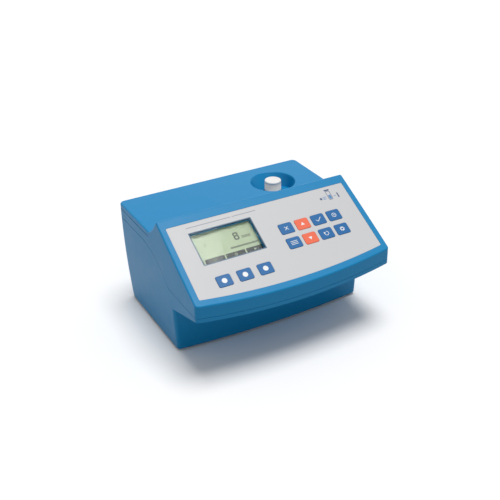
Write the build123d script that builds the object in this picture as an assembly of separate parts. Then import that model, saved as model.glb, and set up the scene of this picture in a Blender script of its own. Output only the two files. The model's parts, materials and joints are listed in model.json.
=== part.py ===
from build123d import *
import os
from math import cos, radians, sin, sqrt, tan

os.makedirs("parts", exist_ok=True)

# Bench photometer, in mm. It stands on z = 0 and its front faces -y.
# The origin is on the bench under the middle of the instrument.

# Housing outline
case_width = 235.0
case_depth = 206.0
deck_height = 120.0
hump_rise = 20.9
foot_height = 3.0
wall = 2.5
rear_lean = 6.5
side_crown_radius = 1000.0
side_crown_height = 71.5
rear_corner_radius = 6.0
front_corner_radius = 4.0
edge_radius = 2.0

# Control panel hump
panel_tilt = 29.1
panel_bow = 8.5
panel_share = 0.495
ridge_radius = 2.5
hump_run = 19.5
hump_hollow = 1.3
panel_wall = 4.5

# Base under the overhanging front
base_setback = 57.0
base_bow = 7.0
rim_drop = 18.9
rim_height = 4.5
rim_shelf = 3.5
underside_angle = 16.2

# Joint between the two casing halves
parting_drop = 16.6
parting_slope = 42.0
parting_knee_share = 0.5175
parting_knee_bend = 0.81
parting_toe_bend = 0.1
reveal_gap = 0.5
reveal_depth = 0.8
tongue_height = 2.5
tongue_gap = 0.1

# Groove under the deck edge
groove_drop = 6.0
groove_width = 0.8
groove_depth = 0.8

# Vial recess in the deck
recess_side_margin = 57.0
recess_share = 0.627
recess_forward = 1.5
recess_depth = 14.5
recess_taper = 3.0
recess_edge_radius = 1.2
collar_hole_radius = 11.0
collar_flange_radius = 12.5
collar_flange = 0.8
collar_margin = 1.5
vial_clearance = 0.4

# Front film and keys, measured down the panel from the ridge
film_top = 11.6
film_front_margin = 6.2
film_top_margin = 8.8
film_bottom_margin = 7.3
film_bow = 8.2
film_corner = 1.5
pocket_depth = 1.8
membrane_thickness = 0.5
film_sink = 0.2
film_gap = 0.15
window_x_share = -0.2209
window_down_share = 0.3712
window_length_share = 0.314
window_height_share = 0.4665
window_ledge = 1.5
window_gap = 0.08
key_length_share = 0.809
key_height_share = 0.693
key_corner = 2.0
key_gap = 0.25
key_proud = 0.3
key_travel = 0.25
key_air = 0.03
key_edge = 0.25
dome_radius = 4.5
dome_height = 0.2
soft_key_x_share = -0.3238
soft_key_pitch_share = 0.1016
soft_key_down_share = 0.8554
soft_key_names = ["soft_key_left", "soft_key_middle", "soft_key_right"]
key_x_share = 0.0711
key_pitch_x_share = 0.0863
key_down_share = 0.4238
key_pitch_down_share = 0.2153
key_rows = [["key_cancel", "key_up", "key_check", "key_help"],
            ["key_menu", "key_down", "key_recall", "key_setup"]]

# Display module under the window
frame_gap = 0.2
display_glass_margin = 2.1
display_glass_thickness = 2.8
display_frame_sheet = 0.8
display_frame_gap = 0.15
display_opening_margin = 0.6
display_board_margin_x = 9.1
display_board_margin_y = 12.2
board_thickness = 1.6
display_boss_inset = 4.0

# Screw posts, feet and screws
post_margin = 16.5
front_post_setback = 48.0
rear_post_margin = 8.5
post_radius = 5.0
post_meet_share = 0.5
screw_shelf = 8.0
head_radius = 3.4
head_height = 2.4
head_clearance = 0.6
case_screw_radius = 1.6
case_screw_length = 20.0
screw_gap = 0.05
screw_cross_reach = 0.6
screw_cross_half_width = 0.14
screw_head_bevel = 0.25
foot_margin = 20.5
front_foot_setback = 26.0
rear_foot_offset = 19.0
foot_radius = 8.0
foot_recess = 1.0
foot_gap = 0.1
foot_edge = 0.8

# Main circuit board
board_side_margin = 25.5
board_right_gap = 1.5
board_front_setback = 30.0
board_rear_gap = 0.5
board_bottom = 14.0
board_boss_radius = 3.5
board_boss_inset = 5.0
small_screw_radius = 1.3
small_screw_length = 7.0
small_head_radius = 2.6
small_head_height = 1.8

# Connector bay in the rear wall
bay_inset = 4.0
bay_length_share = 0.349
bay_bottom = 11.0
bay_top = 34.0
bay_depth = 2.5
bay_corner = 2.0
fitting_gap = 0.2

# Power switch
switch_share = 0.207
switch_length = 19.0
switch_height = 12.8
switch_body_depth = 15.0
switch_bezel = 1.0
switch_bezel_thickness = 1.6
rocker_half_length = 7.2
rocker_height = 9.0
rocker_side_gap = 0.3
rocker_end_gap = 1.0
rocker_swing = 8.0
rocker_pivot_depth = 4.6
rocker_top = 5.2
rocker_dip = 0.9
rocker_belly = 5.5
rocker_pin_radius = 1.0
rocker_pin_gap = 0.05
rocker_pin_reach = 1.0

# Power inlet and data socket
inlet_share = 0.537
inlet_width = 9.0
inlet_height = 11.0
inlet_depth = 14.0
inlet_bore_radius = 3.15
inlet_bore_depth = 10.0
inlet_pin_radius = 1.0
socket_share = 0.829
socket_width = 12.0
socket_height = 11.0
socket_depth = 16.0
socket_mouth_width = 8.6
socket_mouth_height = 7.9
socket_mouth_chamfer = 1.4
socket_mouth_depth = 9.0
tongue_width = 5.6
tongue_thickness = 3.2
tongue_length = 8.0

# Cell holder and optics
holder_length = 40.0
holder_wall_gap = 3.0
holder_corner = 3.0
holder_flange_length = 60.0
holder_flange_width = 3.0
holder_flange_thickness = 4.0
holder_boss_height = 4.0
holder_screw_inset = 5.0
holder_lead = 1.2
channel_count = 4
channel_pitch_share = 0.174
channel_radius = 3.0
channel_wall = 2.7
optic_radius = 5.0
optic_gap = 0.1
filter_thickness = 2.0
lens_thickness = 2.2
lens_edge = 1.0
lamp_radius = 2.5
lamp_flange_radius = 3.0
lamp_flange = 1.0
lamp_length = 4.4
cell_radius = 4.4
cell_thickness = 2.5
optic_board_width = 24.0
optic_board_margin = 8.0
seal_width = 6.5
seal_height = 3.0

# Vial
vial_radius = 8.0
vial_wall = 1.1
vial_foot_height = 6.5
vial_floor = 1.6
vial_bottom_radius = 2.0
neck_radius = 7.2
neck_length = 12.0
cap_radius = 9.75
cap_height = 15.2
cap_stand = 2.0
cap_wall = 2.0
cap_edge = 0.8
cap_air = 0.5
liner_thickness = 1.35
seat_gap = 0.05

# Small parts on the main board, placed by shares of the board
chip_place = (0.3, 0.46)
chip_gap = 2.0
chip_size = 14.0
chip_height = 1.6
chip_scales = [1.0, 0.7, 0.5]
capacitor_place = (0.165, 0.65)
capacitor_radius = 5.0
capacitor_height = 12.0
beeper_place = (0.83, 0.44)
beeper_radius = 7.0
beeper_height = 6.0
beeper_hole_radius = 1.0
clock_cell_place = (0.72, 0.73)
clock_cell_radius = 10.0
clock_cell_height = 3.2

# Flat cables and their connectors
ribbon_thickness = 0.4
ribbon_bend_radius = 4.0
tail_width = 12.0
tail_slot_height = 3.0
tail_slot_gap = 1.0
tail_offset = 10.7
tail_drop = 9.4
tail_leave = 10.5
display_ribbon_width = 24.0
display_ribbon_offset = 8.0
display_ribbon_leave = 8.0
ribbon_bend_setback = 2.0
tail_connector_setback = 10.0
display_connector_setback = 18.0
connector_height = 5.0
connector_depth = 5.0
connector_margin = 2.0


def rear_y(z):
    """Where the leaning rear wall stands at a height."""
    return rear_top_y - (deck_height - z) * tan(radians(rear_lean))


# Housing positions worked out from the sizes above
far = case_width
half_width = case_width / 2
front_y = -case_depth / 2
rear_top_y = case_depth / 2
ridge_height = deck_height + hump_rise
ridge_y = front_y + case_depth * panel_share
hump_foot_y = ridge_y + hump_run
base_front_y = front_y + base_setback
tilt = radians(panel_tilt)
panel = Plane(origin=(0, ridge_y, ridge_height), x_dir=(1, 0, 0), z_dir=(0, -sin(tilt), cos(tilt)))
rim_y = front_y + panel_bow
rim_rise = panel_bow * tan(tilt)
rim_bottom = ridge_height - (ridge_y - front_y) * tan(tilt) - rim_drop
front_parting_height = rim_bottom + rim_height
rear_parting_height = deck_height - parting_drop
floor_z = foot_height + wall
board_top = board_bottom + board_thickness
bay_floor_y = rear_y(bay_bottom) - bay_depth

# Vial, recess and cell holder positions
recess_x = half_width - recess_side_margin
recess_y = (hump_foot_y + rear_top_y) / 2 - recess_forward
recess_radius = (rear_top_y - hump_foot_y) / 2 * recess_share
recess_floor_half_length = recess_radius - recess_taper
recess_floor_half_width = collar_flange_radius + collar_margin
recess_floor_z = deck_height - recess_depth
holder_foot_z = floor_z + holder_boss_height
holder_top = recess_floor_z - wall - seal_height
holder_depth = 2 * (rear_y(floor_z) - wall - recess_y - holder_wall_gap) - 2 * holder_flange_width
channel_pitch = (holder_top - holder_foot_z) * channel_pitch_share
channel_heights = [holder_top - channel_pitch * (channel_count - i) for i in range(channel_count)]
vial_bottom_z = holder_foot_z + holder_flange_thickness + vial_foot_height
cap_top_z = deck_height + cap_stand
cap_bottom_z = cap_top_z - cap_height
vial_top_z = cap_top_z - cap_wall - liner_thickness - 2 * seat_gap
vial_length = vial_top_z - vial_bottom_z

# Film, window and key positions, measured down the panel from the ridge
film_bottom = (ridge_y - front_y - panel_bow) / cos(tilt) - film_front_margin
film_length = film_bottom - film_top
film_top_half = half_width - film_top_margin
film_bottom_half = half_width - film_bottom_margin
window_x = case_width * window_x_share
window_down = film_top + film_length * window_down_share
window_length = case_width * window_length_share
window_height = film_length * window_height_share
soft_key_x = case_width * soft_key_x_share
soft_key_pitch = case_width * soft_key_pitch_share
soft_key_down = film_top + film_length * soft_key_down_share
key_x = case_width * key_x_share
key_pitch_x = case_width * key_pitch_x_share
key_down = film_top + film_length * key_down_share
key_pitch_down = film_length * key_pitch_down_share
key_length = key_pitch_x * key_length_share
key_height = key_pitch_down * key_height_share
tail_x = key_x - tail_offset
tail_down = key_down + key_pitch_down + tail_drop

# Depths under the panel surface
membrane_top = pocket_depth - membrane_thickness
key_bottom = membrane_top - dome_height - key_travel - key_air
frame_top = panel_wall + frame_gap
glass_top = frame_top + display_frame_sheet + display_frame_gap
display_glass_length = window_length + 2 * display_glass_margin
display_glass_height = window_height + 2 * display_glass_margin
display_board_top = glass_top + display_glass_thickness + display_frame_gap
display_board_back = display_board_top + board_thickness

# Screw, foot and board positions
post_x = half_width - post_margin
front_post_y = base_front_y + front_post_setback
rear_post_y = rear_y(foot_height) - rear_post_margin
post_meet = deck_height * post_meet_share
foot_x = half_width - foot_margin
front_foot_y = base_front_y + front_foot_setback
rear_foot_y = rear_post_y - rear_foot_offset
board_left = board_side_margin - half_width
board_right = recess_x - holder_flange_length / 2 - board_right_gap
board_front = base_front_y + board_front_setback
board_rear = bay_floor_y - wall - board_rear_gap
bay_left = board_left + bay_inset
bay_right = bay_left + case_width * bay_length_share
switch_x = bay_left + (bay_right - bay_left) * switch_share
switch_z = (bay_bottom + bay_top) / 2
inlet_x = bay_left + (bay_right - bay_left) * inlet_share
socket_x = bay_left + (bay_right - bay_left) * socket_share
posts = [(side * post_x, y) for side in (-1, 1) for y in (front_post_y, rear_post_y)]
feet = [(side * foot_x, y) for side in (-1, 1) for y in (front_foot_y, rear_foot_y)]


def panel_z(y):
    """Height of the panel surface at a distance from front to back."""
    return ridge_height - (ridge_y - y) * tan(tilt)


def panel_point(down, depth):
    """Y and z of a place a distance down the panel and a depth under its surface."""
    y = ridge_y - down * cos(tilt) + depth * sin(tilt)
    return y, ridge_height - down * sin(tilt) - depth * cos(tilt)


def across(face):
    """Carry a side view over the whole width."""
    return extrude(Plane.YZ * face, amount=far, both=True)


def disc(x, y, z, radius, height):
    """Upright round bar that starts at a height."""
    return Pos(x, y, z + height / 2) * Cylinder(radius, height)


def block(x, y, z):
    """Box between two corners, given as pairs along x, y and z."""
    centre = ((x[0] + x[1]) / 2, (y[0] + y[1]) / 2, (z[0] + z[1]) / 2)
    return Pos(*centre) * Box(x[1] - x[0], y[1] - y[0], z[1] - z[0])


def plate(sketch, depth, thickness):
    """Flat piece parallel to the panel, its underside at a depth."""
    return extrude(panel.offset(-depth) * sketch, amount=thickness)


def screw(head, height, shank, length):
    """Pan head screw that points up from z = 0, with a cross recess in its head."""
    body = disc(0, 0, -height, head, height) + disc(0, 0, 0, shank, length)
    body = chamfer(body.edges().filter_by(GeomType.CIRCLE).sort_by(Axis.Z)[0], head * screw_head_bevel)
    arm = head * screw_cross_reach
    half = head * screw_cross_half_width
    body -= block((-arm, arm), (-half, half), (-2 * height, -height / 2))
    return body - block((-half, half), (-arm, arm), (-2 * height, -height / 2))


def bowed_block(y, bow, inset):
    """Everything behind a bowed front wall."""
    radius = ((case_width / 2) ** 2 + bow ** 2) / (2 * bow) - inset
    half = case_width / 2 + wall
    middle = y + inset
    end = middle + radius - sqrt(radius ** 2 - half ** 2)
    arc = ThreePointArc((-half, end), (0, middle), (half, end))
    rest = Polyline((half, end), (half, far), (-half, far), (-half, end))
    return extrude(make_face([arc, rest]), amount=far)


def crowned_block(inset):
    """Everything between the two slightly crowned side walls."""
    radius = side_crown_radius - inset
    centre = case_width / 2 - side_crown_radius
    ends = (-foot_height, ridge_height + edge_radius)
    low, high = [centre + sqrt(radius ** 2 - (z - side_crown_height) ** 2) for z in ends]
    right = ThreePointArc((low, ends[0]), (centre + radius, side_crown_height), (high, ends[1]))
    left = ThreePointArc((-high, ends[1]), (-centre - radius, side_crown_height), (-low, ends[0]))
    outline = [right, Line(right @ 1, left @ 0), left, Line(left @ 1, right @ 0)]
    return extrude(Plane.XZ * make_face(outline), amount=far, both=True)


def side_face(inset):
    """Side view of the whole housing: leaning back, deck, hump and panel."""
    out = front_y - wall
    lower = Polyline((out, foot_height), (rear_y(foot_height), foot_height),
                     (rear_top_y, deck_height), (hump_foot_y, deck_height))
    middle = ((hump_foot_y + ridge_y) / 2 - hump_hollow, (deck_height + ridge_height) / 2 - hump_hollow)
    rise = ThreePointArc((hump_foot_y, deck_height), middle, (ridge_y, ridge_height))
    upper = Polyline((ridge_y, ridge_height), (out, panel_z(out)), (out, foot_height))
    face = make_face([lower, rise, upper])
    face = fillet(face.vertices().sort_by(Axis.Y)[-1], ridge_radius)
    return offset(face, -inset, kind=Kind.INTERSECTION) if inset else face


def undercut(inset):
    """The space under the overhanging front, before the base."""
    shelf_y = rim_y + rim_shelf
    shelf_z = rim_bottom + rim_rise
    back_y = base_front_y + case_depth / 4
    back_z = shelf_z - (back_y - shelf_y) * tan(radians(underside_angle))
    out = front_y - 4 * wall
    out_z = rim_bottom - (front_y - out) * tan(tilt)
    face = make_face(Polyline((out, out_z), (rim_y, shelf_z), (shelf_y, shelf_z), (back_y, back_z),
                              (back_y, -rim_bottom), (out, -rim_bottom), close=True))
    if inset:
        face = offset(face, inset, kind=Kind.INTERSECTION)
    return across(face) - bowed_block(base_front_y, base_bow, inset)


def envelope(inset):
    """The housing as a solid, every face moved in by the inset."""
    limits = bowed_block(front_y, panel_bow, inset) & crowned_block(inset)
    return (across(side_face(inset)) & limits) - undercut(inset)


def rounded_envelope():
    """The outside of the housing with its corners and edges rounded."""
    body = envelope(0)
    for radius, low_y, high_y in ((rear_corner_radius, rear_y(0), rear_top_y),
                                  (front_corner_radius, front_y, base_front_y + 2 * base_bow)):
        corners = [edge for edge in body.edges()
                   if edge.bounding_box().size.Z > (ridge_height - deck_height) * 0.6
                   and edge.bounding_box().size.X < edge.bounding_box().size.Z / 4
                   and low_y - wall < edge.center().Y < high_y
                   and edge.bounding_box().size.Y < 2 * edge_radius + rear_top_y - rear_y(0)]
        body = fillet(corners, radius)
    low = panel_z(front_y) - edge_radius
    rims = [edge for edge in body.edges() if edge.bounding_box().min.Z > low and not on_ridge(edge)]
    return fillet(rims, edge_radius)


def on_ridge(edge):
    """True for the edges that run across the housing between its side walls."""
    box = edge.bounding_box()
    return box.size.X > case_width / 2 and front_y + 2 * panel_bow < edge.center().Y < rear_top_y - wall


def above_parting(lift):
    """Everything above the parting line, which drops in a curve and follows the rim at the front."""
    high = rear_parting_height + lift
    low = front_parting_height + rim_rise + lift
    knee_y = front_y + case_depth * parting_knee_share
    slope = radians(parting_slope)
    toe_y = knee_y - (high - low) / tan(slope)
    run = (high - low) / sin(slope)
    radii = [run * bend / tan(slope / 2) for bend in (parting_knee_bend, parting_toe_bend)]
    line = FilletPolyline((far, high), (knee_y, high), (toe_y, low), (rim_y, low), radius=radii)
    top = 2 * ridge_height
    front_low = low - (rim_y + far) * tan(tilt)
    rest = Polyline((rim_y, low), (-far, front_low), (-far, top), (far, top), (far, high))
    return across(make_face([line, rest]))


def parting_band(height):
    """A strip of the given height that follows the parting line."""
    return above_parting(0) - above_parting(height)


def recess_cup(grow):
    """The vial recess: round at the deck, narrowing to an oval floor."""
    at_rim = Plane(origin=(recess_x, recess_y, deck_height))
    at_floor = Plane(origin=(recess_x, recess_y, recess_floor_z - grow))
    floor = Ellipse(recess_floor_half_length + grow, recess_floor_half_width + grow)
    return loft([at_floor * floor, at_rim * Circle(recess_radius + grow)])


def film_outline(grow):
    """The front film: a trapezium with a bowed lower edge, on the panel."""
    sides = Polyline((film_bottom_half, -film_bottom), (film_top_half, -film_top),
                     (-film_top_half, -film_top), (-film_bottom_half, -film_bottom))
    arc = ThreePointArc((-film_bottom_half, -film_bottom), (0, -film_bottom - film_bow),
                        (film_bottom_half, -film_bottom))
    face = make_face([sides, arc])
    face = fillet(face.vertices(), film_corner)
    return offset(face, grow, kind=Kind.INTERSECTION) if grow else face


def window_outline(grow):
    """The display window on the panel."""
    return Pos(window_x, -window_down) * Rectangle(window_length + 2 * grow, window_height + 2 * grow)


def key_outline(x, down, grow):
    """One key on the panel, with round corners."""
    size = (key_length + 2 * grow, key_height + 2 * grow)
    return Pos(x, -down) * RectangleRounded(*size, key_corner + grow)


def key_places():
    """Name, x and distance down the panel of every key."""
    places = [(name, soft_key_x + i * soft_key_pitch, soft_key_down) for i, name in enumerate(soft_key_names)]
    for row, names in enumerate(key_rows):
        for column, name in enumerate(names):
            places.append((name, key_x + column * key_pitch_x, key_down + row * key_pitch_down))
    return places


def tail_slot(grow):
    """Slot in the panel that lets the membrane tail through."""
    width = tail_width + tail_slot_gap
    return Pos(tail_x, -tail_down) * Rectangle(width + 2 * grow, tail_slot_height + 2 * grow)


def display_boss_places():
    """Where the display board is screwed to the panel, in panel coordinates."""
    half_x = window_length / 2 + display_board_margin_x - display_boss_inset
    half_y = window_height / 2 + display_board_margin_y - display_boss_inset
    return [(window_x + i * half_x, -window_down + j * half_y) for i in (-1, 1) for j in (-1, 1)]


def upper_casing(outside, inside):
    """Deck, hump and panel in one moulded shell."""
    ring = envelope(wall / 2 - tongue_gap) - envelope(2 * wall)
    shell = (outside & above_parting(0)) - inside
    shell -= ring & parting_band(tongue_height + tongue_gap)
    shell -= (outside - envelope(reveal_depth)) & parting_band(reveal_gap)
    shell += recess_cup(wall)
    pad = plate(film_outline(wall), panel_wall, panel_wall - wall / 2)
    shell += pad & envelope(wall / 4)
    for x, y in posts:
        shell += disc(x, y, post_meet, post_radius, ridge_height - post_meet) & envelope(wall / 2)
    for x, y in display_boss_places():
        boss = panel.offset(-display_board_top) * Pos(x, y) * Circle(board_boss_radius)
        shell += extrude(boss, amount=display_board_top - wall)
    shell -= recess_cup(0)
    shell -= disc(recess_x, recess_y, recess_floor_z - 2 * wall, collar_hole_radius, 3 * wall)
    rim = shell.edges().filter_by(lambda edge: edge_is_rim(edge))
    shell = fillet(rim, recess_edge_radius)
    shell -= plate(film_outline(0), pocket_depth, pocket_depth + wall)
    shell -= plate(window_outline(-window_ledge), 2 * panel_wall, 2 * panel_wall)
    shell -= plate(tail_slot(0), 2 * panel_wall, 2 * panel_wall)
    for x, y in posts:
        shell -= disc(x, y, post_meet, case_screw_radius + screw_gap, case_screw_length)
    for x, y in display_boss_places():
        hole = panel.offset(-display_board_top) * Pos(x, y) * Circle(small_screw_radius + screw_gap)
        shell -= extrude(hole, amount=small_screw_length - board_thickness)
    return shell - deck_groove(outside)


def edge_is_rim(edge):
    """True for the edge where the recess meets the deck."""
    box = edge.bounding_box()
    centre = box.center()
    near = abs(centre.X - recess_x) + abs(centre.Y - recess_y) < wall
    return near and abs(centre.Z - deck_height) < 0.01 and abs(box.size.X - 2 * recess_radius) < wall


def deck_groove(outside):
    """Thin groove round the deck, from the hump's foot round the back."""
    z = deck_height - groove_drop
    band = block((-far, far), (hump_foot_y + edge_radius, far), (z - groove_width / 2, z + groove_width / 2))
    return (outside - envelope(groove_depth)) & band


def connector_bay(grow, depth):
    """Rounded block for the recess in the rear wall that holds the sockets."""
    width = bay_right - bay_left + 2 * grow
    height = bay_top - bay_bottom + 2 * grow
    middle = Plane(origin=((bay_left + bay_right) / 2, bay_floor_y, (bay_bottom + bay_top) / 2),
                   x_dir=(-1, 0, 0), z_dir=(0, 1, 0))
    return extrude(middle.offset(-depth) * RectangleRounded(width, height, bay_corner + grow), amount=far / 4)


def rear_opening(x, z, width, height):
    """Cut through the bay's floor for a switch or socket."""
    return block((x - width / 2 - fitting_gap, x + width / 2 + fitting_gap),
                 (bay_floor_y - 2 * wall, bay_floor_y + wall),
                 (z - height / 2 - fitting_gap, z + height / 2 + fitting_gap))


def board_boss_places():
    """Corners where the main board is screwed down."""
    inset = board_boss_inset
    return [(x, y) for x in (board_left + inset, board_right - inset)
            for y in (board_front + inset, board_rear - 2 * inset)]


def holder_boss_places():
    """Corners where the cell holder is screwed down."""
    half_x = holder_flange_length / 2 - holder_screw_inset
    half_y = holder_depth / 2 + holder_flange_width - holder_screw_inset
    return [(recess_x + i * half_x, recess_y + j * half_y) for i in (-1, 1) for j in (-1, 1)]


def lower_casing(outside, inside):
    """Base, rear wall and thin front rim in one moulded shell."""
    shell = outside - above_parting(0) - inside
    shell += (envelope(wall / 2) - inside) & parting_band(tongue_height)
    shell += (connector_bay(wall, wall) & envelope(wall / 4)) - connector_bay(0, 0)
    shell -= connector_bay(0, 0)
    for x, y in posts:
        shell += disc(x, y, foot_height + wall / 2, post_radius, post_meet - foot_height - wall / 2)
    for x, y in board_boss_places():
        shell += disc(x, y, foot_height + wall / 2, board_boss_radius, board_bottom - foot_height - wall / 2)
    for x, y in holder_boss_places():
        shell += disc(x, y, foot_height + wall / 2, board_boss_radius, holder_foot_z - foot_height - wall / 2)
    for x, y in posts:
        shell -= disc(x, y, 0, head_radius + head_clearance, post_meet - screw_shelf)
        shell -= disc(x, y, 0, case_screw_radius + 2 * screw_gap, post_meet + wall)
    for x, y in feet:
        shell -= disc(x, y, 0, foot_radius + foot_gap, foot_height + foot_recess)
    blind = small_screw_length - board_thickness
    for x, y in board_boss_places():
        shell -= disc(x, y, board_bottom - blind, small_screw_radius + screw_gap, 2 * blind)
    for x, y in holder_boss_places():
        depth = small_screw_length - holder_flange_thickness
        shell -= disc(x, y, holder_foot_z - depth, small_screw_radius + screw_gap, 2 * depth)
    shell -= rear_opening(switch_x, switch_z, switch_length, switch_height)
    shell -= rear_opening(inlet_x, board_top + inlet_height / 2, inlet_width, inlet_height)
    shell -= rear_opening(socket_x, board_top + socket_height / 2, socket_width, socket_height)
    return shell


def panel_film():
    """Light grey front film with openings for the window and keys."""
    face = film_outline(-film_gap) - window_outline(0)
    for name, x, down in key_places():
        face -= key_outline(x, down, key_gap)
    return plate(face, membrane_top, membrane_top - film_sink)


def membrane_circuit():
    """Circuit sheet glued in the panel pocket under the film."""
    face = film_outline(-2 * film_gap) - window_outline(-window_ledge) - tail_slot(0)
    return plate(face, pocket_depth, membrane_thickness)


def key_domes():
    """A low snap dome on the membrane circuit under each key."""
    base = panel.offset(-membrane_top)
    domes = []
    for name, x, down in key_places():
        foot = base * Pos(x, -down) * Circle(dome_radius)
        crown = base.offset(dome_height) * Pos(x, -down) * Circle(dome_radius * 0.7)
        domes.append(loft([foot, crown]))
    return Compound(children=domes)


def key(x, down):
    """One key: a rounded plate that stands a little proud of the film."""
    body = plate(key_outline(x, down, 0), key_bottom, key_bottom + key_proud)
    top = body.faces().sort_by(Axis(panel.origin, panel.z_dir))[-1]
    return chamfer(top.edges(), key_edge)


def display_window():
    """Clear window, on the ledge of the membrane circuit."""
    return plate(window_outline(-window_gap), membrane_top, membrane_top - film_sink)


def at_window(sketch):
    """Move a sketch to the middle of the display."""
    return Pos(window_x, -window_down) * sketch


def display_frame():
    """Pressed metal frame that holds the display glass on its board."""
    sheet = display_frame_sheet
    gap = display_frame_gap
    outer_size = (display_glass_length + 2 * sheet + 2 * gap, display_glass_height + 2 * sheet + 2 * gap)
    inner_size = (outer_size[0] - 2 * sheet, outer_size[1] - 2 * sheet)
    lid = at_window(Rectangle(*outer_size)) - window_outline(display_opening_margin)
    skirt = at_window(Rectangle(*outer_size)) - at_window(Rectangle(*inner_size))
    lid = plate(lid, frame_top + sheet, sheet)
    return lid + plate(skirt, display_board_top, display_board_top - frame_top)


def display_glass():
    """Liquid crystal cell under the frame."""
    face = at_window(Rectangle(display_glass_length, display_glass_height))
    return plate(face, glass_top + display_glass_thickness, display_glass_thickness)


def display_board():
    """Circuit board behind the display, screwed to the panel bosses."""
    face = at_window(RectangleRounded(window_length + 2 * display_board_margin_x,
                                      window_height + 2 * display_board_margin_y, 1))
    for x, y in display_boss_places():
        face -= Pos(x, y) * Circle(small_screw_radius + screw_gap)
    return plate(face, display_board_back, board_thickness)


def display_screws():
    """Four screws that hold the display board."""
    one = screw(small_head_radius, small_head_height, small_screw_radius, small_screw_length)
    places = [panel.offset(-display_board_back) * Pos(x, y) for x, y in display_boss_places()]
    return Compound(children=[place * one for place in places])


def ribbon(points, radius, x, width):
    """Flat cable that follows a route seen from the side."""
    route = FilletPolyline(*points, radius=radius)
    strip = trace(route, ribbon_thickness)
    return extrude(Plane.YZ.offset(x - width / 2) * strip, amount=width)


def display_ribbon():
    """Flat cable from the display board down to the main board."""
    start = panel_point(window_down, display_board_back)
    leave = panel_point(window_down, display_board_back + display_ribbon_leave)
    end_y = board_front + display_connector_setback
    fall = leave[1] - board_top
    points = [start, leave, (board_front + ribbon_bend_setback, board_top + fall * 0.6),
              (end_y, board_top + fall * 0.3), (end_y, board_top + connector_height)]
    return ribbon(points, ribbon_bend_radius, window_x - display_ribbon_offset, display_ribbon_width)


def membrane_tail():
    """Flat tail of the membrane circuit, down to the main board."""
    start = panel_point(tail_down, pocket_depth - membrane_thickness / 2)
    leave = panel_point(tail_down, tail_leave)
    end_y = board_front + tail_connector_setback
    fall = leave[1] - board_top
    points = [start, leave, (board_front + ribbon_bend_setback, board_top + fall * 0.6),
              (end_y, board_top + fall * 0.3), (end_y, board_top + connector_height)]
    return ribbon(points, ribbon_bend_radius, tail_x, tail_width)


def board_connectors():
    """Two upright connectors for the flat cables."""
    parts = []
    ribbon_x = window_x - display_ribbon_offset
    for x, setback, width in ((ribbon_x, display_connector_setback, display_ribbon_width),
                              (tail_x, tail_connector_setback, tail_width)):
        half = width / 2 + connector_margin
        y = board_front + setback
        parts.append(block((x - half, x + half), (y - connector_depth / 2, y + connector_depth / 2),
                           (board_top, board_top + connector_height)))
    return Compound(children=parts)


def main_board():
    """Main circuit board on four bosses of the lower casing."""
    face = Pos((board_left + board_right) / 2, (board_front + board_rear) / 2) * RectangleRounded(
        board_right - board_left, board_rear - board_front, 2)
    for x, y in board_boss_places():
        face -= Pos(x, y) * Circle(small_screw_radius + screw_gap)
    return extrude(Plane.XY.offset(board_bottom) * face, amount=board_thickness)


def board_screws(places, top):
    """Small screws that point down through a board or flange."""
    one = screw(small_head_radius, small_head_height, small_screw_radius, small_screw_length)
    return Compound(children=[Pos(x, y, top) * Rot(180, 0, 0) * one for x, y in places])


def on_board(place):
    """X and y of a place given by its shares of the main board."""
    x = board_left + (board_right - board_left) * place[0]
    return x, board_front + (board_rear - board_front) * place[1]


def board_chips():
    """Processor, converter and memory packages on the main board."""
    chips = []
    x, y = on_board(chip_place)
    for scale in chip_scales:
        size = chip_size * scale
        chips.append(block((x, x + size), (y - size / 2, y + size / 2), (board_top, board_top + chip_height)))
        x += size + chip_gap
    return Compound(children=chips)


def capacitors():
    """Two reservoir capacitors of the power supply."""
    x, y = on_board(capacitor_place)
    pitch = 2 * capacitor_radius + 1
    cans = [disc(x + step, y, board_top, capacitor_radius, capacitor_height) for step in (0, pitch)]
    return Compound(children=cans)


def beeper():
    """Round sounder with a small hole in its top."""
    x, y = on_board(beeper_place)
    body = disc(x, y, board_top, beeper_radius, beeper_height)
    return body - disc(x, y, board_top + beeper_height / 2, beeper_hole_radius, beeper_height)


def clock_cell():
    """Coin cell that keeps the clock, lying on the main board."""
    return disc(*on_board(clock_cell_place), board_top, clock_cell_radius, clock_cell_height)


def switch_frame():
    """Snap-in frame of the power switch with a well for the rocker."""
    face_y = bay_floor_y + switch_bezel_thickness
    half_x = switch_length / 2
    half_z = switch_height / 2
    bezel = block((switch_x - half_x - switch_bezel, switch_x + half_x + switch_bezel), (bay_floor_y, face_y),
                  (switch_z - half_z - switch_bezel, switch_z + half_z + switch_bezel))
    body = block((switch_x - half_x, switch_x + half_x), (bay_floor_y - switch_body_depth, bay_floor_y),
                 (switch_z - half_z, switch_z + half_z))
    well_x = rocker_half_length + rocker_end_gap
    well_z = rocker_height / 2 + rocker_side_gap
    well_y = face_y - rocker_pivot_depth - rocker_belly - rocker_end_gap
    well = block((switch_x - well_x, switch_x + well_x), (well_y, face_y + wall),
                 (switch_z - well_z, switch_z + well_z))
    pins = disc(switch_x, face_y - rocker_pivot_depth, switch_z - well_z - rocker_pin_reach - rocker_pin_gap,
                rocker_pin_radius + rocker_pin_gap, 2 * (well_z + rocker_pin_reach + rocker_pin_gap))
    return bezel + body - well - pins


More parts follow.
